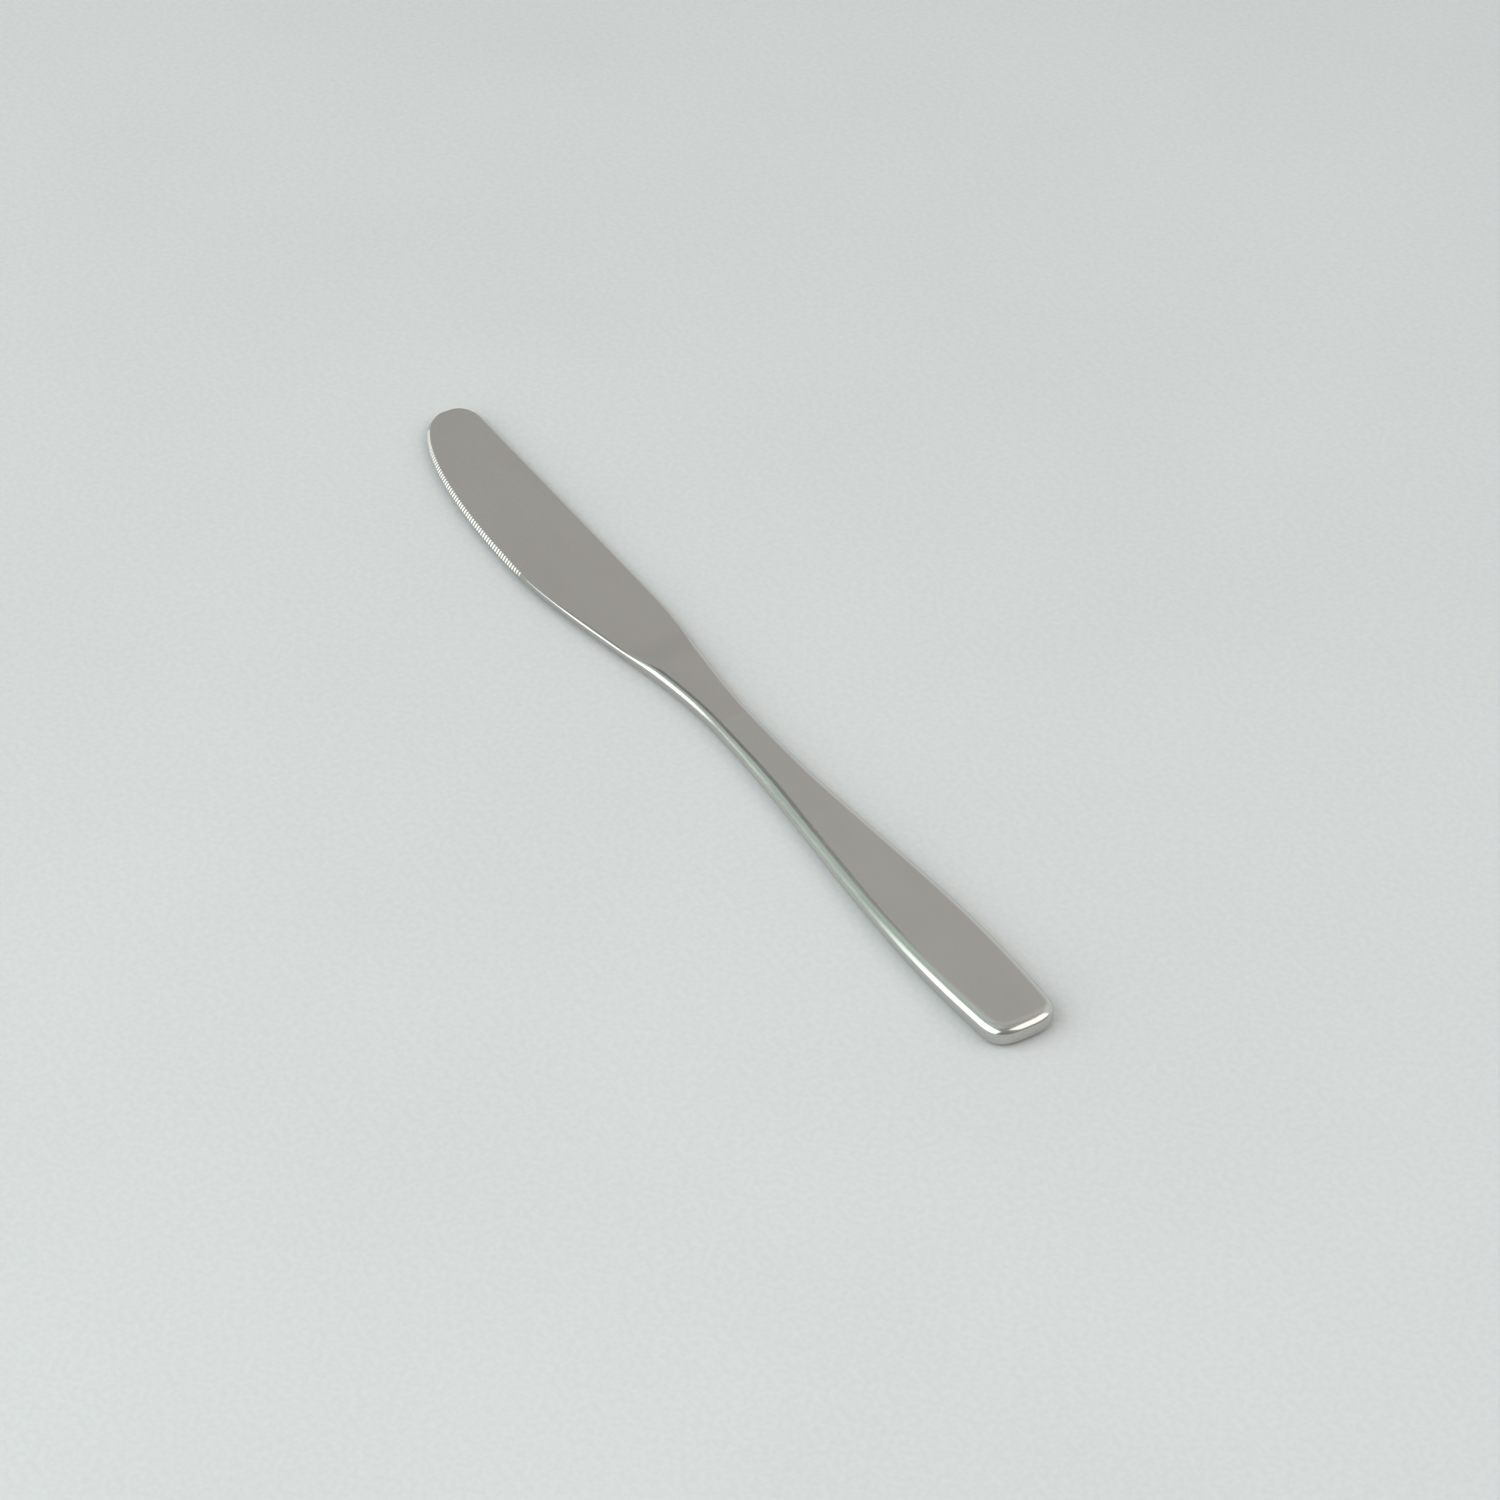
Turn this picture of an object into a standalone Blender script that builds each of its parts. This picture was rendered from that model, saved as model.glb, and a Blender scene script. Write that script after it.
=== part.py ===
"""Dessert knife of solid stainless steel: a ground, part-serrated blade held by its tang in a flat handle.

The knife lies on the flat underside of its handle. +X runs from the butt to the tip, +Y is the side of the
cutting edge and +Z is up; the origin is under the middle of the knife. Sizes are in millimetres, and stations
along the knife are measured from the butt. Meshes are made in metres.
"""
import math

import bmesh
import bpy
import numpy as np
from mathutils import Matrix, Vector

MM = 0.001

# Plan of the whole knife, from the butt to the joint at the neck and on to the tip
HANDLE_LENGTH = 97.0
BLADE_LENGTH = 113.0
NECK_WIDTH = 7.95          # narrowest section, where blade and handle are joined

# Handle, with its long sides rounded almost right over
HANDLE_WIDTH = 15.4
HANDLE_WIDEST_AT = 24.0    # from the butt
BUTT_WIDTH = 13.3          # what the sides taper to at the butt, before its corners are rounded
BUTT_CORNER_LENGTH = 6.0
BUTT_SQUARENESS = 3.1      # superellipse exponent of the butt: 2 is round, higher is squarer
BUTT_THICKNESS = 4.25
NECK_THICKNESS = 3.0
THICK_LENGTH = 70.0        # along which the butt's thickness falls to the neck's
THICK_CURVE = 1.5          # exponent of that fall
SIDE_ROUND = 1.5           # drop of the rounding of the handle's edges
NECK_ROUND = 1.05          # and at the neck
FULL_ROUND_LENGTH = 70.0   # from the butt, where the rounding starts to get smaller
ROUND_SPREAD = 1.5         # width of a rounding over its drop

# Blade
SPINE_OFFSET = 6.7         # from the handle's centre line to the straight spine
SPINE_FLARE_LENGTH = 40.5  # along which the neck widens to the spine
BELLY_OFFSET = 11.95       # from the centre line to the cutting edge at its widest
BELLY_FROM_TIP = 50.0
BELLY_TAPER = 2.07         # exponent of the cutting edge's fall from the belly: lower is straighter
TIP_SQUARENESS = 2.4       # exponent of its turn at the tip: 2 is round, higher is blunter
TIP_OFFSET = -2.0          # the tip lies a little to the spine's side of the centre line
TIP_GUARD = 0.1            # least width used in shares across the blade, which has none at the very tip
NOSE_LENGTH = 6.5          # where the spine rounds down to the tip
NOSE_SQUARENESS = 2.4
STUB_LENGTH = 18.5         # thick neck between the joint and the ramp
RAMP_LENGTH = 10.5         # fall from the thick neck to the ground faces
ROOT_THICKNESS = 1.7       # of the ground blade at the ramp
TIP_SPINE_THICKNESS = 1.15
TIP_EDGE_THICKNESS = 1.0
SPINE_ROUND = 0.5
EDGE_ROUND = 0.42          # of the plain part of the cutting edge
EDGE_FADE = 4.0            # width round the tip where the spine's rounding turns into the cutting edge

# Serrated front of the cutting edge, ground from the upper face
SERRATION_REACH = 62.5     # from the tip back to where its bevel runs out
SERRATION_CLEAR = 4.0      # from the tip back to the first tooth
SHARPEN_LENGTH = 12.0      # along which the plain edge's rounding gets smaller, up to the bevel
FOOT_ROUND = 0.2           # what is left of it along the bevel
BEVEL_WIDTH = 0.45
BEVEL_SHARE = 0.52         # of the edge's thickness that the bevel takes
BEVEL_RUNOUT = 15.0        # along which the bevel gets its depth; the teeth start half way
BEVEL_GUARD = 0.001        # least size used in the bevel's formula, which divides by it
TOOTH_PITCH = 0.85
TOOTH_LAND = 0.08          # flat left between two grooves
GROOVE_DEPTH = 0.16
GROOVE_LENGTH = 3.0

# Tang joint, filled with braze on the finished knife
TANG_WIDTH = 4.0
TANG_THICKNESS = 1.3
TANG_LENGTH = 14.0
TANG_ROOT = 3.0            # length of tang bar sunk in the blade's stub
BRAZE_GAP = 0.3

# Fineness of the meshes: strips across a face, facets in a rounded edge, rows along each stretch
COLUMNS = 14
ROUND_STEPS = 5
GROOVE_SIDES = 10
HANDLE_ROWS = 30
CORNER_ROWS = 7
STUB_ROWS = 6
RAMP_ROWS = 12
FLARE_ROWS = 18
BELLY_ROWS = 26
EDGE_SAMPLES = 2000
SHARP_ANGLE = 40.0
ROUND_SHARE = 0.96         # most of an edge's thickness that its two roundings may take
FACE_RIM = 0.05            # strip of face kept before a rounding

# Stations and heights that follow
LENGTH = HANDLE_LENGTH + BLADE_LENGTH
NECK_AT = HANDLE_LENGTH
RAMP_AT = NECK_AT + STUB_LENGTH
RAMP_END_AT = RAMP_AT + RAMP_LENGTH
BELLY_AT = LENGTH - BELLY_FROM_TIP
SERRATION_REAR_AT = LENGTH - SERRATION_REACH
TEETH_AT = SERRATION_REAR_AT + BEVEL_RUNOUT / 2
TEETH_END_AT = LENGTH - SERRATION_CLEAR
GROOVE_RADIUS = (TOOTH_PITCH - TOOTH_LAND) / 2
CENTRE_Y = (BELLY_OFFSET - max(HANDLE_WIDTH / 2, SPINE_OFFSET)) / 2


def ease(t):
    """Smooth step from 0 to 1."""
    t = np.clip(t, 0.0, 1.0)
    return t * t * (3.0 - 2.0 * t)


def blend(a, b, t):
    return a + (b - a) * t


def quarter(t, along, across):
    """Height of a superellipse's quarter, 1 at t = 0 and 0 at t = 1, from its two exponents."""
    t = np.clip(t, 0.0, 1.0)
    return (1.0 - t ** along) ** (1.0 / across)


def handle_half_width(x):
    to_butt = np.clip((HANDLE_WIDEST_AT - x) / HANDLE_WIDEST_AT, 0.0, 1.0)
    to_neck = ease((x - HANDLE_WIDEST_AT) / (NECK_AT - HANDLE_WIDEST_AT))
    widest = HANDLE_WIDTH / 2
    sides = widest - (widest - BUTT_WIDTH / 2) * to_butt ** 2 - (widest - NECK_WIDTH / 2) * to_neck
    to_end = (BUTT_CORNER_LENGTH - x) / BUTT_CORNER_LENGTH
    return sides * quarter(to_end, BUTT_SQUARENESS, BUTT_SQUARENESS)


def spine_side(x):
    """Outline on the spine's side, as y from the handle's centre line."""
    flare = ease((x - NECK_AT) / SPINE_FLARE_LENGTH)
    spine = blend(-NECK_WIDTH / 2, -SPINE_OFFSET, flare)
    nose = quarter((x - LENGTH + NOSE_LENGTH) / NOSE_LENGTH, NOSE_SQUARENESS, NOSE_SQUARENESS)
    blade = np.where(x > LENGTH - NOSE_LENGTH, blend(TIP_OFFSET, spine, nose), spine)
    return np.where(x < NECK_AT, -handle_half_width(x), blade)


def edge_side(x):
    """Outline on the cutting edge's side, as y from the handle's centre line."""
    flare = ease((x - NECK_AT) / (BELLY_AT - NECK_AT))
    belly = quarter((x - BELLY_AT) / (LENGTH - BELLY_AT), BELLY_TAPER, TIP_SQUARENESS)
    to_belly = blend(NECK_WIDTH / 2, BELLY_OFFSET, flare)
    to_tip = blend(TIP_OFFSET, BELLY_OFFSET, belly)
    return np.where(x < NECK_AT, handle_half_width(x), np.where(x < BELLY_AT, to_belly, to_tip))


def bar_thickness(x):
    """Thickness of handle and neck."""
    to_butt = np.clip(1.0 - x / THICK_LENGTH, 0.0, 1.0)
    return blend(NECK_THICKNESS, BUTT_THICKNESS, to_butt ** THICK_CURVE)


def middle(x):
    """Height of the knife's middle above the table, with the handle's underside flat on it."""
    return bar_thickness(x) / 2


def ramp(x):
    """0 on the thick neck, 1 on the ground blade."""
    return ease((x - RAMP_AT) / RAMP_LENGTH)


def half_thickness(x, y):
    spine, edge = spine_side(x), edge_side(x)
    across = np.clip((y - spine) / np.maximum(edge - spine, TIP_GUARD), 0.0, 1.0)
    along = np.clip((x - RAMP_AT) / (LENGTH - RAMP_AT), 0.0, 1.0)
    ground = blend(ROOT_THICKNESS, blend(TIP_SPINE_THICKNESS, TIP_EDGE_THICKNESS, across), along)
    return blend(bar_thickness(x), ground, ramp(x)) / 2


def side_round(x):
    """Drop of the rounding along handle and neck."""
    at_neck = ease((x - FULL_ROUND_LENGTH) / (NECK_AT - FULL_ROUND_LENGTH))
    return blend(SIDE_ROUND, NECK_ROUND, at_neck)


def cutting_share(y):
    """0 along the spine, 1 along the cutting edge, for outline points of the blade."""
    return ease((y - TIP_OFFSET) / EDGE_FADE)


def edge_round(x, y):
    """Drop of the rounding at outline points."""
    sharpened = ease((x - SERRATION_REAR_AT) / SHARPEN_LENGTH + 1.0)
    plain = blend(EDGE_ROUND, FOOT_ROUND, sharpened)
    drop = blend(side_round(x), blend(SPINE_ROUND, plain, cutting_share(y)), ramp(x))
    return np.minimum(drop, ROUND_SHARE * half_thickness(x, y))


def bevel_size(x, y):
    """Width and drop of the serration's bevel at outline points."""
    ground = ease((x - SERRATION_REAR_AT) / BEVEL_RUNOUT) * cutting_share(y)
    return ground * BEVEL_WIDTH, ground * BEVEL_SHARE * 2 * half_thickness(x, y)


def outline_normals(path):
    """Outward normals of a path that leaves the joint by the spine and comes back by the cutting edge."""
    along = np.gradient(path, axis=0)
    normals = np.stack([-along[:, 1], along[:, 0]], axis=1)
    normals *= -np.sign(normals[0, 1])
    normals /= np.linalg.norm(normals, axis=1)[:, None]
    normals[0] = (0.0, -1.0)
    normals[-1] = (0.0, 1.0)
    return normals


def face_points(x, y, side, sink=0.0):
    """Points on the upper (side 1) or lower (side -1) face, or a little way inside it."""
    return np.stack([x, y, middle(x) + side * (half_thickness(x, y) - sink)], axis=-1)


def edge_rings(path):
    """Rows of points down the edge, one for each outline point, from the upper face to the lower one."""
    normals = outline_normals(path)
    x, y = path[:, :1], path[:, 1:]
    drop = edge_round(x, y)
    turn = np.linspace(0.0, math.pi / 2, ROUND_STEPS + 1)
    inset = drop * ROUND_SPREAD * (1.0 - np.sin(turn))
    sink = drop * (1.0 - np.cos(turn))

    # The bevel cuts the upper half, which gets a point on the face before it and one on the wall below it
    width, depth = bevel_size(x, y)
    start = np.maximum(inset[:, :1] + FACE_RIM, width)
    foot = np.maximum(half_thickness(x, y), depth)
    upper_inset = np.hstack([start, inset, np.zeros_like(x)])
    upper_sink = np.hstack([np.zeros_like(x), sink, foot])
    width, depth = np.maximum(width, BEVEL_GUARD), np.maximum(depth, BEVEL_GUARD)
    cut = np.maximum(1.0 - upper_inset / width - upper_sink / depth, 0.0) / (width ** -2 + depth ** -2)

    upper = (1.0, upper_inset + cut / width, upper_sink + cut / depth)
    halves = []
    for side, inwards, down in (upper, (-1.0, inset, sink)):
        halves.append(face_points(x - normals[:, :1] * inwards, y - normals[:, 1:] * inwards, side, down))
    return np.concatenate([halves[0], halves[1][:, ::-1]], axis=1)


def to_model(x, y, z):
    return ((x - LENGTH / 2) * MM, (y - CENTRE_Y) * MM, z * MM)


def grid(bm, lines):
    """Quads between neighbouring lines of vertices."""
    for here, following in zip(lines, lines[1:]):
        for k in range(len(here) - 1):
            bm.faces.new((here[k], here[k + 1], following[k + 1], following[k]))


def plate(name, rows, end):
    """A closed body from the joint to one end of the knife.

    rows are the stations of straight lines across the plan, the first one at the joint. end holds the points
    of the outline round the end, from the last row's point by the spine to its point by the cutting edge.
    """
    sides = rows[:-1]
    spine = np.stack([sides, spine_side(sides)], axis=1)
    edge = np.stack([sides, edge_side(sides)], axis=1)
    rings = edge_rings(np.concatenate([spine, end, edge[::-1]]))

    bm = bmesh.new()
    rim = [[bm.verts.new(to_model(*p)) for p in ring] for ring in rings]
    grid(bm, rim)
    share = np.linspace(0.0, 1.0, COLUMNS + 1)[1:-1, None]
    joint_lines = []
    for level, side in ((0, 1.0), (-1, -1.0)):
        lines = []
        for i in range(len(sides)):
            across = blend(rings[i, level, :2], rings[-1 - i, level, :2], share)
            inner = face_points(across[:, 0], across[:, 1], side)
            lines.append([rim[i][level]] + [bm.verts.new(to_model(*p)) for p in inner] + [rim[-1 - i][level]])
        lines.append([rim[len(sides) + j][level] for j in range(COLUMNS + 1)])
        grid(bm, lines)
        joint_lines.append(lines[0][1:-1])
    upper, lower = joint_lines
    bm.faces.new(rim[0] + lower + rim[-1][::-1] + upper[::-1])
    bmesh.ops.recalc_face_normals(bm, faces=bm.faces)
    return new_object(name, bm)


def new_object(name, bm):
    mesh = bpy.data.meshes.new(name)
    bm.to_mesh(mesh)
    bm.free()
    obj = bpy.data.objects.new(name, mesh)
    bpy.context.scene.collection.objects.link(obj)
    return obj


def combine(obj, tool, operation):
    """Cut a body with a tool, or join them, and drop the tool."""
    modifier = obj.modifiers.new(tool.name, 'BOOLEAN')
    modifier.object = tool
    modifier.operation = operation
    modifier.solver = 'EXACT'
    depsgraph = bpy.context.evaluated_depsgraph_get()
    result = bpy.data.meshes.new_from_object(obj.evaluated_get(depsgraph))
    obj.modifiers.clear()
    obj.data = result
    bpy.data.objects.remove(tool, do_unlink=True)


def finish(obj, material):
    obj.data.shade_smooth()
    obj.data.set_sharp_from_angle(angle=math.radians(SHARP_ANGLE))
    obj.data.materials.append(material)
    return obj


def bar(name, start, end, width, thickness):
    """Square bar along the knife, between two stations, at the middle height of the joint."""
    bm = bmesh.new()
    place = Matrix.Translation(to_model((start + end) / 2, 0.0, middle(NECK_AT)))
    size = Matrix.Diagonal(Vector((end - start, width, thickness)) * MM).to_4x4()
    bmesh.ops.create_cube(bm, size=1.0, matrix=place @ size)
    return new_object(name, bm)


def serration_grooves():
    """One round groove for each tooth, square to the edge and parallel to the bevel."""
    x = np.linspace(TEETH_AT, TEETH_END_AT, EDGE_SAMPLES)
    y = edge_side(x)
    slope = np.gradient(y, x)
    run = np.concatenate([[0.0], np.cumsum(np.hypot(np.diff(x), np.diff(y)))])
    up = Vector((0.0, 0.0, 1.0))
    bm = bmesh.new()
    for place in np.arange(TOOTH_PITCH / 2, run[-1], TOOTH_PITCH):
        tooth_x, tooth_y, tooth_slope = (float(np.interp(place, run, values)) for values in (x, y, slope))
        width, drop = (float(size) for size in bevel_size(tooth_x, tooth_y))
        out = Vector((-tooth_slope, 1.0, 0.0)).normalized()
        chord = out * width - up * drop
        off_bevel = chord.cross(up.cross(out)).normalized()
        bevel_middle = Vector(face_points(tooth_x, tooth_y, 1.0)) - (out * width + up * drop) / 2
        centre = bevel_middle + off_bevel * (GROOVE_RADIUS - GROOVE_DEPTH)
        turn = chord.to_track_quat('Z', 'Y').to_matrix().to_4x4()
        bmesh.ops.create_cone(bm, cap_ends=True, segments=GROOVE_SIDES, radius1=GROOVE_RADIUS * MM,
                              radius2=GROOVE_RADIUS * MM, depth=GROOVE_LENGTH * MM,
                              matrix=Matrix.Translation(to_model(*centre)) @ turn)
    return new_object('serration_grooves', bm)


def steel(name, colour, roughness):
    material = bpy.data.materials.new(name)
    material.use_nodes = True
    shader = material.node_tree.nodes['Principled BSDF']
    shader.inputs['Base Color'].default_value = (*colour, 1.0)
    shader.inputs['Metallic'].default_value = 1.0
    shader.inputs['Roughness'].default_value = roughness
    return material


def make_handle():
    front = NECK_AT - BRAZE_GAP / 2
    angles = np.linspace(-math.pi / 4, math.pi / 4, COLUMNS + 1)
    end_x = BUTT_CORNER_LENGTH * (1.0 - np.cos(angles) ** (2 / BUTT_SQUARENESS))
    end = np.stack([end_x, np.sign(angles) * handle_half_width(end_x)], axis=1)
    rows = np.concatenate([np.linspace(front, BUTT_CORNER_LENGTH, HANDLE_ROWS, endpoint=False),
                           np.linspace(BUTT_CORNER_LENGTH, end_x[0], CORNER_ROWS + 1)])
    handle = plate('handle', rows, end)
    socket = bar('tang_socket', NECK_AT - TANG_LENGTH - BRAZE_GAP, NECK_AT + TANG_ROOT,
                 TANG_WIDTH + 2 * BRAZE_GAP, TANG_THICKNESS + 2 * BRAZE_GAP)
    combine(handle, socket, 'DIFFERENCE')
    return finish(handle, steel('handle_steel', (0.56, 0.55, 0.52), 0.34))


def make_blade():
    back = NECK_AT + BRAZE_GAP / 2
    nose_at = LENGTH - NOSE_LENGTH / 2
    t = np.linspace(-1.0, 1.0, COLUMNS + 1)
    end_x = LENGTH - (LENGTH - nose_at) * t * t
    end = np.stack([end_x, np.where(t < 0, spine_side(end_x), edge_side(end_x))], axis=1)
    rows = np.concatenate([np.linspace(back, RAMP_AT, STUB_ROWS, endpoint=False),
                           np.linspace(RAMP_AT, RAMP_END_AT, RAMP_ROWS, endpoint=False),
                           np.linspace(RAMP_END_AT, BELLY_AT, FLARE_ROWS, endpoint=False),
                           np.linspace(BELLY_AT, nose_at, BELLY_ROWS + 1)])
    blade = plate('blade', rows, end)
    tang = bar('tang', NECK_AT - TANG_LENGTH, NECK_AT + TANG_ROOT, TANG_WIDTH, TANG_THICKNESS)
    combine(blade, tang, 'UNION')
    combine(blade, serration_grooves(), 'DIFFERENCE')
    return finish(blade, steel('blade_steel', (0.57, 0.55, 0.52), 0.30))


def main():
    for obj in list(bpy.data.objects):
        bpy.data.objects.remove(obj, do_unlink=True)
    knife = bpy.data.objects.new('knife', None)
    bpy.context.scene.collection.objects.link(knife)
    for piece in (make_handle(), make_blade()):
        piece.parent = knife


main()
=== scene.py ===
"""Looks of the dessert knife: fine meshes of its blade and handle in satin steel, on a pale table.

Sizes of the knife are in millimetres, with stations along it measured from its butt, as in the CAD part.
The meshes are made in metres in the frame's own axes: +X from the butt to the tip, +Y to the cutting edge's
side, +Z up from the table. Camera, table and light are in metres and degrees.
"""
import math

import bmesh
import bpy
import numpy as np
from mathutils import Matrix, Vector


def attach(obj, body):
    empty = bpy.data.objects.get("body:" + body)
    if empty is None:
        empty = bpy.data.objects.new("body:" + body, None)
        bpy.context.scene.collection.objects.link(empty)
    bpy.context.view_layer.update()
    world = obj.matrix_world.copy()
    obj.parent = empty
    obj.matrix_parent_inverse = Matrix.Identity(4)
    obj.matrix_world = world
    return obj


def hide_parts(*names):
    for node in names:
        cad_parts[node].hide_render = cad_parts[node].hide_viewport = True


MM = 0.001

# Plan of the whole knife, from the butt to the joint at the neck and on to the tip
HANDLE_LENGTH = 97.0
BLADE_LENGTH = 113.0
NECK_WIDTH = 7.95

# Handle, with its long sides rounded almost right over
HANDLE_WIDTH = 15.4
HANDLE_WIDEST_AT = 24.0
BUTT_WIDTH = 13.3
BUTT_CORNER_LENGTH = 6.0
BUTT_SQUARENESS = 3.1      # superellipse exponent: 2 is round, higher is squarer
BUTT_THICKNESS = 4.25
NECK_THICKNESS = 3.0
THICK_LENGTH = 70.0        # along which the butt's thickness falls to the neck's
THICK_CURVE = 1.5
SIDE_ROUND = 1.5           # drop of the rounding of the handle's edges
NECK_ROUND = 1.05          # and at the neck
FULL_ROUND_LENGTH = 70.0   # from the butt, where the rounding starts to get smaller
ROUND_SPREAD = 1.5         # width of a rounding over its drop

# Blade
SPINE_OFFSET = 6.7         # from the handle's centre line
SPINE_FLARE_LENGTH = 40.5
BELLY_OFFSET = 11.95       # of the cutting edge where it is widest
BELLY_FROM_TIP = 50.0
BELLY_TAPER = 2.07         # exponent of the cutting edge's fall from the belly
TIP_SQUARENESS = 2.4       # exponent of its turn at the tip
TIP_OFFSET = -2.0
TIP_GUARD = 0.1            # least width used in shares across the blade, which has none at the very tip
NOSE_LENGTH = 6.5
NOSE_SQUARENESS = 2.4
STUB_LENGTH = 18.5
RAMP_LENGTH = 10.5
ROOT_THICKNESS = 1.7       # of the ground blade at the ramp
TIP_SPINE_THICKNESS = 1.15
TIP_EDGE_THICKNESS = 1.0
SPINE_ROUND = 0.5
EDGE_ROUND = 0.42
EDGE_FADE = 4.0            # across which the tip goes over from spine to cutting edge

# Serrated front of the cutting edge
SERRATION_REACH = 62.5
SERRATION_CLEAR = 4.0
SHARPEN_LENGTH = 12.0      # along which the plain edge's rounding gets smaller, up to the bevel
FOOT_ROUND = 0.2           # what is left of it along the bevel
BEVEL_WIDTH = 0.45
BEVEL_SHARE = 0.52         # of the edge's thickness that the bevel takes
BEVEL_RUNOUT = 15.0        # along which the bevel gets its depth; the teeth start half way
BEVEL_GUARD = 0.001        # least size used in the bevel's formula, which divides by it
TOOTH_PITCH = 0.85
TOOTH_LAND = 0.08
GROOVE_DEPTH = 0.16

# Tang and its socket
TANG_WIDTH = 4.0
TANG_THICKNESS = 1.3
TANG_LENGTH = 14.0
BRAZE_GAP = 0.3

# Fineness of the meshes
COLUMNS = 16               # strips across a face
ROUND_STEPS = 9            # facets in each half of an edge
ROUND_SHARE = 0.96         # most of an edge's thickness that its two roundings may take
FACE_RIM = 0.05            # strip of face kept before a rounding
ROW_STEP = 1.0             # between rows along the plain stretches
CORNER_ROWS = 16           # along the butt's corners
TOOTH_SAMPLES = 8          # rows to a tooth
EDGE_SAMPLES = 4000        # points that measure the run of the edge along the teeth
SHARP_ANGLE = 22.0         # between facets, from which an edge is shaded as a crease

# Surface of the steel. Cells are to the metre, along the knife, across it and upwards
BLADE_COLOUR = (0.56, 0.54, 0.512)
HANDLE_COLOUR = (0.567, 0.557, 0.527)
STEEL_ROUGHNESS = 0.18
GRAIN_CELLS = (160.0, 5200.0, 5200.0)
GRAIN_ROUGHNESS = 0.03     # most that the grain changes the roughness, up or down
SMEAR_CELLS = (45.0, 110.0, 110.0)
SMEAR_RANGE = (0.35, 0.65)
SMEAR_ROUGHNESS = 0.015
SMEAR_DARKENING = 0.025
SPECK_CELLS = (2600.0, 2600.0, 2600.0)
SPECK_TONE = 0.012
SPECK_HEIGHT = 0.6         # over the grain's
SCRATCH_CELLS = (55.0, 3400.0, 3400.0)
SCRATCH_RANGE = (0.73, 0.78)
SCRATCH_ROUGHNESS = 0.03
STEEL_BUMP_STRENGTH = 0.05
STEEL_BUMP_HEIGHT = 0.02

# Surface of the table, with its cells to the metre and its size in metres
TABLE_SIZE = 8.0
TABLE_COLOUR = (0.675, 0.68, 0.687)
TABLE_ROUGHNESS = 0.7
TABLE_SPECULAR = 0.2
MOTTLE_CELLS = (900.0, 900.0, 900.0)
MOTTLE_TONE = 0.025
CLOUD_CELLS = (14.0, 14.0, 14.0)
CLOUD_TONE = 0.01
TABLE_BUMP_STRENGTH = 0.15
TABLE_BUMP_HEIGHT = 0.1    # in millimetres, as the steel's

# Noise of both surfaces
NOISE_RANGE = (0.3, 0.7)   # in which most of its values lie
COARSE_DETAIL = 2.0
FINE_DETAIL = 3.0

# Camera, as in the photograph
LOOK_AT = Vector((-0.01460, -0.00185, 0.0))
VIEW_DISTANCE = 0.855
VIEW_ELEVATION = 38.865
VIEW_HEADING = 149.18      # plan angle from the knife's +X to the camera
LENS = 114.48              # focal length in millimetres

# Light. Directions are as the camera sees them: azimuth 0 is right, 90 away, 180 left, 270 near
NEAR = 270.0
LAMP_DISTANCE = 1.3
# name: azimuth, elevation, angle it spans across and up, radiance, colour
LAMPS = {
    "left_softbox": (208.5, 33.0, 78.0, 58.0, 1.7, (0.94, 1.0, 1.0)),
    "right_softbox": (-17.0, 42.0, 42.0, 38.0, 1.5, (1.0, 0.97, 0.915)),
}
WALL_COLOUR = (0.40, 0.40, 0.395)
# azimuth, elevation, angle from the middle to where it starts to fade and to where it ends, colour added
GLOWS = [
    (78.0, 44.0, 10.0, 34.0, (0.165, 0.165, 0.16)),
    (72.0, 2.0, 8.0, 26.0, (0.4, 0.4, 0.385)),
    (148.0, 32.0, 22.0, 42.0, (0.17, 0.28, 0.23)),
    (30.0, 20.0, 14.0, 38.0, (0.38, 0.45, 0.43)),
    (40.0, 65.0, 15.0, 35.0, (0.12, 0.12, 0.115)),
    (113.0, 48.0, 6.0, 18.0, (0.15, 0.17, 0.16)),
    (170.0, 76.0, 8.0, 24.0, (0.24, 0.29, 0.26)),
    (272.0, 10.0, 20.0, 45.0, (-0.1, -0.1, -0.1)),
]

# Grey flag above and behind the knife, which only the steel and the table see
FLAG_DISTANCE = 0.45
FLAG_AZIMUTH = 109.0
FLAG_ELEVATION = 47.5
FLAG_WIDE = 21.0           # angles that it spans
FLAG_HIGH = 12.5
FLAG_COLOUR = (0.38, 0.38, 0.38)
FLAG_ROUGHNESS = 1.0

# Stations that follow
LENGTH = HANDLE_LENGTH + BLADE_LENGTH
NECK_AT = HANDLE_LENGTH
RAMP_AT = NECK_AT + STUB_LENGTH
RAMP_END_AT = RAMP_AT + RAMP_LENGTH
BELLY_AT = LENGTH - BELLY_FROM_TIP
NOSE_AT = LENGTH - NOSE_LENGTH / 2
SERRATION_REAR_AT = LENGTH - SERRATION_REACH
TEETH_AT = SERRATION_REAR_AT + BEVEL_RUNOUT / 2
TEETH_END_AT = LENGTH - SERRATION_CLEAR
GROOVE_RADIUS = (TOOTH_PITCH - TOOTH_LAND) / 2
CENTRE_Y = (BELLY_OFFSET - max(HANDLE_WIDTH / 2, SPINE_OFFSET)) / 2


def ease(t):
    """Smooth step from 0 to 1."""
    t = np.clip(t, 0.0, 1.0)
    return t * t * (3.0 - 2.0 * t)


def blend(a, b, t):
    """From a at t = 0 to b at t = 1."""
    return a + (b - a) * t


def quarter(t, along, across):
    """Height of a superellipse's quarter, 1 at t = 0 and 0 at t = 1, from its two exponents."""
    t = np.clip(t, 0.0, 1.0)
    return (1.0 - t ** along) ** (1.0 / across)


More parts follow.
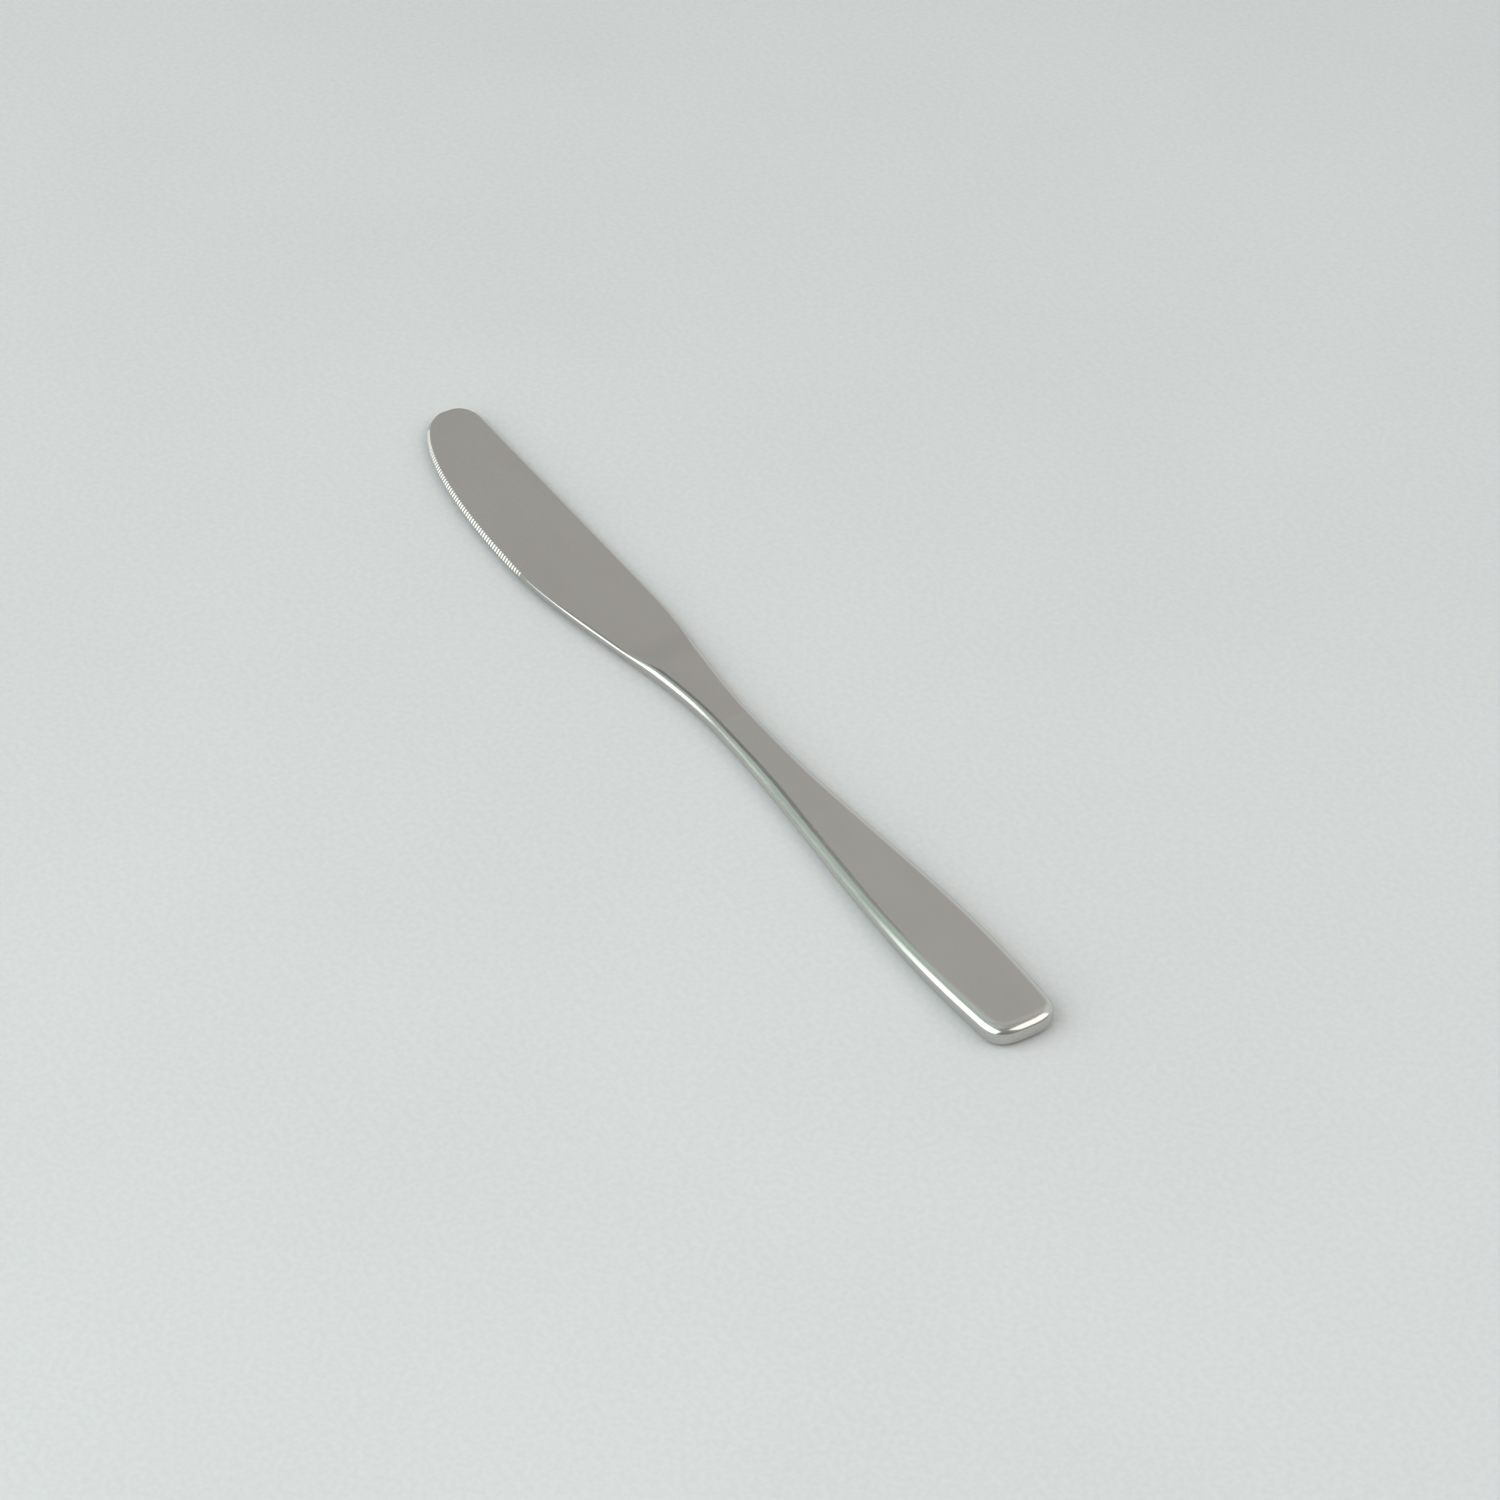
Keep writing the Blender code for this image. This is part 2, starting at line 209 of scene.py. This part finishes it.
def handle_half_width(x):
    """Half the width of the handle, down to nothing at the very butt."""
    to_butt = np.clip((HANDLE_WIDEST_AT - x) / HANDLE_WIDEST_AT, 0.0, 1.0)
    to_neck = ease((x - HANDLE_WIDEST_AT) / (NECK_AT - HANDLE_WIDEST_AT))
    widest = HANDLE_WIDTH / 2
    sides = widest - (widest - BUTT_WIDTH / 2) * to_butt ** 2 - (widest - NECK_WIDTH / 2) * to_neck
    to_end = (BUTT_CORNER_LENGTH - x) / BUTT_CORNER_LENGTH
    return sides * quarter(to_end, BUTT_SQUARENESS, BUTT_SQUARENESS)


def spine_side(x):
    """Outline on the spine's side, as y from the handle's centre line."""
    flare = ease((x - NECK_AT) / SPINE_FLARE_LENGTH)
    spine = blend(-NECK_WIDTH / 2, -SPINE_OFFSET, flare)
    nose = quarter((x - LENGTH + NOSE_LENGTH) / NOSE_LENGTH, NOSE_SQUARENESS, NOSE_SQUARENESS)
    blade = np.where(x > LENGTH - NOSE_LENGTH, blend(TIP_OFFSET, spine, nose), spine)
    return np.where(x < NECK_AT, -handle_half_width(x), blade)


def edge_side(x):
    """Outline on the cutting edge's side, as y from the handle's centre line."""
    flare = ease((x - NECK_AT) / (BELLY_AT - NECK_AT))
    belly = quarter((x - BELLY_AT) / (LENGTH - BELLY_AT), BELLY_TAPER, TIP_SQUARENESS)
    to_belly = blend(NECK_WIDTH / 2, BELLY_OFFSET, flare)
    to_tip = blend(TIP_OFFSET, BELLY_OFFSET, belly)
    return np.where(x < NECK_AT, handle_half_width(x), np.where(x < BELLY_AT, to_belly, to_tip))


def bar_thickness(x):
    """Thickness of handle and neck."""
    to_butt = np.clip(1.0 - x / THICK_LENGTH, 0.0, 1.0)
    return blend(NECK_THICKNESS, BUTT_THICKNESS, to_butt ** THICK_CURVE)


def middle(x):
    """Height of the knife's middle above the table."""
    return bar_thickness(x) / 2


def ramp(x):
    """0 on the thick neck, 1 on the ground blade."""
    return ease((x - RAMP_AT) / RAMP_LENGTH)


def half_thickness(x, y):
    """Half the thickness of handle, neck and wedged blade, before any rounding."""
    spine, edge = spine_side(x), edge_side(x)
    across = np.clip((y - spine) / np.maximum(edge - spine, TIP_GUARD), 0.0, 1.0)
    along = np.clip((x - RAMP_AT) / (LENGTH - RAMP_AT), 0.0, 1.0)
    ground = blend(ROOT_THICKNESS, blend(TIP_SPINE_THICKNESS, TIP_EDGE_THICKNESS, across), along)
    return blend(bar_thickness(x), ground, ramp(x)) / 2


def side_round(x):
    """Drop of the rounding along handle and neck."""
    at_neck = ease((x - FULL_ROUND_LENGTH) / (NECK_AT - FULL_ROUND_LENGTH))
    return blend(SIDE_ROUND, NECK_ROUND, at_neck)


def edge_run():
    """Stations along the teeth, and the length of edge from the last tooth to each of them."""
    x = np.linspace(TEETH_AT, TEETH_END_AT, EDGE_SAMPLES)
    steps = np.hypot(np.diff(x), np.diff(edge_side(x)))
    return x, np.concatenate([[0.0], np.cumsum(steps)])


def groove_depth(x):
    """Depth of the round tooth grooves below the bevel, at stations along the cutting edge."""
    stations, run = edge_run()
    off_centre = np.interp(x, stations, run) % TOOTH_PITCH - TOOTH_PITCH / 2
    arc = np.sqrt(np.maximum(GROOVE_RADIUS ** 2 - off_centre ** 2, 0.0))
    depth = np.maximum(arc - (GROOVE_RADIUS - GROOVE_DEPTH), 0.0)
    return np.where((x > TEETH_AT) & (x < TEETH_END_AT), depth, 0.0)


def cutting_share(y):
    """0 along the spine, 1 along the cutting edge, for outline points of the blade."""
    return ease((y - TIP_OFFSET) / EDGE_FADE)


def edge_round(x, y):
    """Drop of the rounding at outline points."""
    sharpened = ease((x - SERRATION_REAR_AT) / SHARPEN_LENGTH + 1.0)
    plain = blend(EDGE_ROUND, FOOT_ROUND, sharpened)
    drop = blend(side_round(x), blend(SPINE_ROUND, plain, cutting_share(y)), ramp(x))
    return np.minimum(drop, ROUND_SHARE * half_thickness(x, y))


def bevel_size(x, y):
    """Width and drop of the serration's bevel at outline points, with its tooth grooves."""
    drop = BEVEL_SHARE * 2 * half_thickness(x, y)
    ground = ease((x - SERRATION_REAR_AT) / BEVEL_RUNOUT) * cutting_share(y)
    groove = groove_depth(x) * cutting_share(y) * np.hypot(BEVEL_WIDTH, drop)
    return ground * BEVEL_WIDTH + groove / drop, ground * drop + groove / BEVEL_WIDTH


def outline_normals(path):
    """Outward normals of a path that leaves the joint by the spine and comes back by the cutting edge."""
    along = np.gradient(path, axis=0)
    normals = np.stack([-along[:, 1], along[:, 0]], axis=1)
    normals *= -np.sign(normals[0, 1])
    normals /= np.linalg.norm(normals, axis=1)[:, None]
    normals[0] = (0.0, -1.0)
    normals[-1] = (0.0, 1.0)
    return normals


def face_points(x, y, side, sink=0.0):
    """Points on the upper (side 1) or lower (side -1) face, or a little way inside it."""
    return np.stack([x, y, middle(x) + side * (half_thickness(x, y) - sink)], axis=-1)


def edge_rings(path):
    """Rows of points down the edge, one for each outline point, from the upper face to the lower one."""
    normals = outline_normals(path)
    x, y = path[:, :1], path[:, 1:]
    drop = edge_round(x, y)
    turn = np.linspace(0.0, math.pi / 2, ROUND_STEPS + 1)
    inset = drop * ROUND_SPREAD * (1.0 - np.sin(turn))
    sink = drop * (1.0 - np.cos(turn))

    # The bevel cuts the upper half, which gets a point on the face before it and one on the wall below it
    width, depth = bevel_size(x, y)
    start = np.maximum(inset[:, :1] + FACE_RIM, width)
    foot = np.maximum(half_thickness(x, y), depth)
    upper_inset = np.hstack([start, inset, np.zeros_like(x)])
    upper_sink = np.hstack([np.zeros_like(x), sink, foot])
    width, depth = np.maximum(width, BEVEL_GUARD), np.maximum(depth, BEVEL_GUARD)
    cut = np.maximum(1.0 - upper_inset / width - upper_sink / depth, 0.0) / (width ** -2 + depth ** -2)

    upper = (1.0, upper_inset + cut / width, upper_sink + cut / depth)
    halves = []
    for side, inwards, down in (upper, (-1.0, inset, sink)):
        halves.append(face_points(x - normals[:, :1] * inwards, y - normals[:, 1:] * inwards, side, down))
    return np.concatenate([halves[0], halves[1][:, ::-1]], axis=1)


def to_model(p):
    """A point in the frame's metres and axes."""
    return ((p[0] - LENGTH / 2) * MM, (p[1] - CENTRE_Y) * MM, p[2] * MM)


def grid(bm, lines):
    """Quads between neighbouring lines of vertices."""
    for here, following in zip(lines, lines[1:]):
        for k in range(len(here) - 1):
            bm.faces.new((here[k], here[k + 1], following[k + 1], following[k]))


def close_joint(bm, loop, gap):
    """Joint face with the tang, or with its socket where gap is the room round the tang."""
    half_width, half_height = TANG_WIDTH / 2 + gap, TANG_THICKNESS / 2 + gap
    centre = middle(NECK_AT)
    corners = [(-half_width, centre - half_height), (half_width, centre - half_height),
               (half_width, centre + half_height), (-half_width, centre + half_height)]
    root = [bm.verts.new(to_model((NECK_AT, y, z))) for y, z in corners]
    end = [bm.verts.new(to_model((NECK_AT - TANG_LENGTH - gap, y, z))) for y, z in corners]
    border = [(a, b) for ring in (loop, root) for a, b in zip(ring, ring[1:] + ring[:1])]
    edges = [bm.edges.get(pair) or bm.edges.new(pair) for pair in border]
    bmesh.ops.triangle_fill(bm, edges=edges, use_beauty=True)
    grid(bm, [root + root[:1], end + end[:1]])
    bm.faces.new(end)


def plate(name, rows, end, gap):
    """A closed body from the joint to one end of the knife.

    rows are the stations of straight lines across the plan, the first one at the joint. end holds the
    points of the outline round the end, from the last row's point by the spine to its point by the
    cutting edge.
    """
    sides = rows[:-1]
    spine = np.stack([sides, spine_side(sides)], axis=1)
    edge = np.stack([sides, edge_side(sides)], axis=1)
    rings = edge_rings(np.concatenate([spine, end, edge[::-1]]))

    bm = bmesh.new()
    rim = [[bm.verts.new(to_model(p)) for p in ring] for ring in rings]
    grid(bm, rim)
    share = np.linspace(0.0, 1.0, COLUMNS + 1)[1:-1, None]
    joint_lines = []
    for level, side in ((0, 1.0), (-1, -1.0)):
        lines = []
        for i in range(len(sides)):
            across = blend(rings[i, level, :2], rings[-1 - i, level, :2], share)
            inner = face_points(across[:, 0], across[:, 1], side)
            between = [bm.verts.new(to_model(p)) for p in inner]
            lines.append([rim[i][level], *between, rim[-1 - i][level]])
        lines.append([rim[len(sides) + j][level] for j in range(COLUMNS + 1)])
        grid(bm, lines)
        joint_lines.append(lines[0][1:-1])
    upper, lower = joint_lines
    close_joint(bm, rim[0] + lower + rim[-1][::-1] + upper[::-1], gap)
    bmesh.ops.recalc_face_normals(bm, faces=bm.faces)

    mesh = bpy.data.meshes.new(name)
    bm.to_mesh(mesh)
    bm.free()
    mesh.shade_smooth()
    mesh.set_sharp_from_angle(angle=math.radians(SHARP_ANGLE))
    obj = bpy.data.objects.new(name, mesh)
    bpy.context.scene.collection.objects.link(obj)
    return obj


def stretch(start, end):
    """Evenly spaced stations from start up to, but not with, end."""
    return np.linspace(start, end, math.ceil(abs(end - start) / ROW_STEP), endpoint=False)


def make_handle():
    """The handle with its socket, whose end is the butt's front between the middles of its two corners."""
    angles = np.linspace(-math.pi / 4, math.pi / 4, COLUMNS + 1)
    end_x = BUTT_CORNER_LENGTH * (1.0 - np.cos(angles) ** (2 / BUTT_SQUARENESS))
    end = np.stack([end_x, np.sign(angles) * handle_half_width(end_x)], axis=1)
    rows = np.concatenate([stretch(NECK_AT, BUTT_CORNER_LENGTH),
                           np.linspace(BUTT_CORNER_LENGTH, end_x[0], CORNER_ROWS + 1)])
    return plate("handle_finish", rows, end, BRAZE_GAP)


def make_blade():
    """The blade with its tang, whose end is the nose, and whose rows are finest along the teeth."""
    t = np.linspace(-1.0, 1.0, COLUMNS + 1)
    end_x = LENGTH - (LENGTH - NOSE_AT) * t * t
    end = np.stack([end_x, np.where(t < 0, spine_side(end_x), edge_side(end_x))], axis=1)
    stations, run = edge_run()
    tooth_steps = np.arange(0.0, run[-1], TOOTH_PITCH / TOOTH_SAMPLES)
    rows = np.concatenate([stretch(NECK_AT, RAMP_AT), stretch(RAMP_AT, RAMP_END_AT),
                           stretch(RAMP_END_AT, TEETH_AT), np.interp(tooth_steps, run, stations),
                           stretch(TEETH_END_AT, NOSE_AT), [NOSE_AT]])
    return plate("blade_finish", rows, end, 0.0)


class Graph:
    """Short way to add linked shader nodes."""

    def __init__(self, tree):
        self.nodes, self.links = tree.nodes, tree.links

    def add(self, kind, settings=(), **inputs):
        """A node, with inputs by name, a space written as _, or by place, as i0 and i1."""
        node = self.nodes.new(kind)
        for key, value in dict(settings).items():
            setattr(node, key, value)
        for key, value in inputs.items():
            place = key[1:]
            socket = node.inputs[int(place) if place.isdigit() else key.replace("_", " ")]
            if isinstance(value, bpy.types.NodeSocket):
                self.links.new(value, socket)
            else:
                socket.default_value = value
        return node

    def math(self, operation, a, b):
        """What an operation makes of two numbers."""
        return self.add("ShaderNodeMath", {"operation": operation}, i0=a, i1=b).outputs[0]

    def vector(self, operation, a, b):
        """Node of an operation on two vectors."""
        return self.add("ShaderNodeVectorMath", {"operation": operation}, i0=a, i1=b)

    def scaled(self, colour, factor):
        """A colour times a factor."""
        return self.add("ShaderNodeVectorMath", {"operation": "SCALE"}, i0=colour, Scale=factor).outputs[0]

    def noise(self, place, cells, detail=COARSE_DETAIL):
        """Noise from 0 to 1 with so many cells to the metre along each axis."""
        stretched = self.vector("MULTIPLY", place, cells).outputs[0]
        return self.add("ShaderNodeTexNoise", Vector=stretched, Scale=1.0, Detail=detail).outputs[0]

    def span(self, value, within, low, high):
        """Smooth step from low to high, while a value goes through a range."""
        smooth = {"interpolation_type": "SMOOTHSTEP"}
        ranges = {"From_Min": within[0], "From_Max": within[1], "To_Min": low, "To_Max": high}
        return self.add("ShaderNodeMapRange", smooth, Value=value, **ranges).outputs[0]

    def vary(self, noise, reach, around=0.0, within=NOISE_RANGE):
        """A value that a noise moves by reach at most, up or down."""
        return self.span(noise, within, around - reach, around + reach)

    def bump(self, height, strength, distance):
        """Normal of a surface with small bumps."""
        return self.add("ShaderNodeBump", Strength=strength, Distance=distance, Height=height).outputs[0]


def new_material(name):
    """A material, after the graph of its nodes and its shader."""
    material = bpy.data.materials.new(name)
    material.use_nodes = True
    return Graph(material.node_tree), material.node_tree.nodes["Principled BSDF"], material


def steel(name, colour):
    """Satin stainless steel: fine grain along the knife, faint smears and a few hairline scratches."""
    graph, shader, material = new_material(name)
    place = graph.add("ShaderNodeTexCoord").outputs["Object"]
    grain = graph.noise(place, GRAIN_CELLS, FINE_DETAIL)
    smear = graph.noise(place, SMEAR_CELLS)
    speck = graph.noise(place, SPECK_CELLS)
    scratch = graph.noise(place, SCRATCH_CELLS)

    rough = graph.vary(grain, GRAIN_ROUGHNESS, around=STEEL_ROUGHNESS)
    rough = graph.math("ADD", rough, graph.span(scratch, SCRATCH_RANGE, 0.0, SCRATCH_ROUGHNESS))
    rough = graph.math("ADD", rough, graph.vary(smear, SMEAR_ROUGHNESS, within=SMEAR_RANGE))
    graph.links.new(rough, shader.inputs["Roughness"])

    tone = graph.span(smear, NOISE_RANGE, 1.0 - SMEAR_DARKENING, 1.0)
    tone = graph.math("ADD", tone, graph.vary(speck, SPECK_TONE))
    graph.links.new(graph.scaled(colour, tone), shader.inputs["Base Color"])

    height = graph.math("ADD", grain, graph.math("MULTIPLY", speck, SPECK_HEIGHT))
    normal = graph.bump(height, STEEL_BUMP_STRENGTH, STEEL_BUMP_HEIGHT * MM)
    graph.links.new(normal, shader.inputs["Normal"])
    shader.inputs["Metallic"].default_value = 1.0
    return material


def table_top():
    """Pale matt table with a very fine mottle."""
    graph, shader, material = new_material("table_top")
    place = graph.add("ShaderNodeTexCoord").outputs["Object"]
    mottle = graph.noise(place, MOTTLE_CELLS, FINE_DETAIL)
    cloud = graph.noise(place, CLOUD_CELLS)

    tone = graph.vary(mottle, MOTTLE_TONE, around=1.0)
    tone = graph.math("ADD", tone, graph.vary(cloud, CLOUD_TONE))
    graph.links.new(graph.scaled(TABLE_COLOUR, tone), shader.inputs["Base Color"])

    normal = graph.bump(mottle, TABLE_BUMP_STRENGTH, TABLE_BUMP_HEIGHT * MM)
    graph.links.new(normal, shader.inputs["Normal"])
    shader.inputs["Roughness"].default_value = TABLE_ROUGHNESS
    shader.inputs["Specular IOR Level"].default_value = TABLE_SPECULAR
    return material


def direction(azimuth, elevation):
    """Unit vector from the knife to an azimuth and elevation, as the camera sees them."""
    heading = math.radians(VIEW_HEADING)
    away = Vector((-math.cos(heading), -math.sin(heading), 0.0))
    right = Vector((away.y, -away.x, 0.0))
    turn = math.radians(azimuth)
    rise = math.radians(elevation)
    flat = right * math.cos(turn) + away * math.sin(turn)
    return flat * math.cos(rise) + Vector((0.0, 0.0, math.sin(rise)))


def spanned(angle, distance):
    """Length that fills an angle at a distance."""
    return 2 * distance * math.tan(math.radians(angle / 2))


def hang_lamps():
    """Softboxes that face the knife."""
    for name, (azimuth, elevation, wide, high, radiance, colour) in LAMPS.items():
        light = bpy.data.lights.new(name, "AREA")
        light.shape = "RECTANGLE"
        light.size = spanned(wide, LAMP_DISTANCE)
        light.size_y = spanned(high, LAMP_DISTANCE)
        light.energy = radiance * math.pi * light.size * light.size_y
        light.color = colour
        lamp = bpy.data.objects.new(name, light)
        out = direction(azimuth, elevation)
        lamp.location = out * LAMP_DISTANCE
        lamp.rotation_euler = out.to_track_quat("Z", "Y").to_euler()
        lamp.visible_camera = False
        bpy.context.scene.collection.objects.link(lamp)


def light_walls():
    """Surroundings of one colour, with a soft round glow, or a darker patch, in some directions."""
    world = bpy.data.worlds.new("studio")
    world.use_nodes = True
    bpy.context.scene.world = world
    graph = Graph(world.node_tree)
    looking = graph.add("ShaderNodeTexCoord").outputs["Generated"]
    total = WALL_COLOUR
    for azimuth, elevation, full, ends, colour in GLOWS:
        facing = graph.vector("DOT_PRODUCT", looking, direction(azimuth, elevation)).outputs["Value"]
        rim = (math.cos(math.radians(ends)), math.cos(math.radians(full)))
        share = graph.span(facing, rim, 0.0, 1.0)
        total = graph.vector("ADD", total, graph.scaled(colour, share)).outputs[0]
    graph.links.new(total, world.node_tree.nodes["Background"].inputs["Color"])


def stage_sheet(name, centre, across, up, material):
    """A flat rectangle of the stage, from its centre and its two half sides."""
    corners = [centre - across - up, centre + across - up, centre + across + up, centre - across + up]
    mesh = bpy.data.meshes.new(name)
    mesh.from_pydata(corners, [], [(0, 1, 2, 3)])
    mesh.materials.append(material)
    sheet = bpy.data.objects.new(name, mesh)
    bpy.context.scene.collection.objects.link(sheet)
    return sheet


def lay_table():
    """The table under the knife."""
    half = TABLE_SIZE / 2
    stage_sheet("table", Vector(), Vector((half, 0.0, 0.0)), Vector((0.0, half, 0.0)), table_top())


def hang_flag():
    """The flag that makes the soft dark line along the handle's near edge."""
    _, shader, material = new_material("flag_cloth")
    shader.inputs["Base Color"].default_value = (*FLAG_COLOUR, 1.0)
    shader.inputs["Roughness"].default_value = FLAG_ROUGHNESS
    out = direction(FLAG_AZIMUTH, FLAG_ELEVATION)
    across = direction(FLAG_AZIMUTH + 90.0, 0.0)
    up = out.cross(across)
    half_width = spanned(FLAG_WIDE, FLAG_DISTANCE) / 2
    half_height = spanned(FLAG_HIGH, FLAG_DISTANCE) / 2
    flag = stage_sheet("flag", out * FLAG_DISTANCE, across * half_width, up * half_height, material)
    flag.visible_camera = False


def place_camera():
    """The camera on the near side, where the photograph was taken from."""
    camera = bpy.data.objects.new("camera", bpy.data.cameras.new("camera"))
    camera.data.lens = LENS
    back = direction(NEAR, VIEW_ELEVATION)
    camera.location = LOOK_AT + back * VIEW_DISTANCE
    camera.rotation_euler = back.to_track_quat("Z", "Y").to_euler()
    bpy.context.scene.collection.objects.link(camera)
    bpy.context.scene.camera = camera


def dress(piece, node, material):
    """Material of a piece, and the CAD node that it stands for."""
    piece.data.materials.append(material)
    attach(piece, "root")
    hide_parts(node)


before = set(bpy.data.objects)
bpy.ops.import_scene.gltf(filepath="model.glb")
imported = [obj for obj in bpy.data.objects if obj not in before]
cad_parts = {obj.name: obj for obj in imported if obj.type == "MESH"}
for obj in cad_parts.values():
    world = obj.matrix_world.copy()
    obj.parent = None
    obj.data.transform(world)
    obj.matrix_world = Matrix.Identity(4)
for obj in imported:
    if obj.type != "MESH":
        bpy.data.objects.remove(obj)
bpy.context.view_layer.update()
dress(make_blade(), "blade", steel("blade_satin", BLADE_COLOUR))
dress(make_handle(), "handle", steel("handle_satin", HANDLE_COLOUR))
lay_table()
hang_flag()
hang_lamps()
light_walls()
place_camera()
bpy.context.scene.view_settings.view_transform = "Standard"
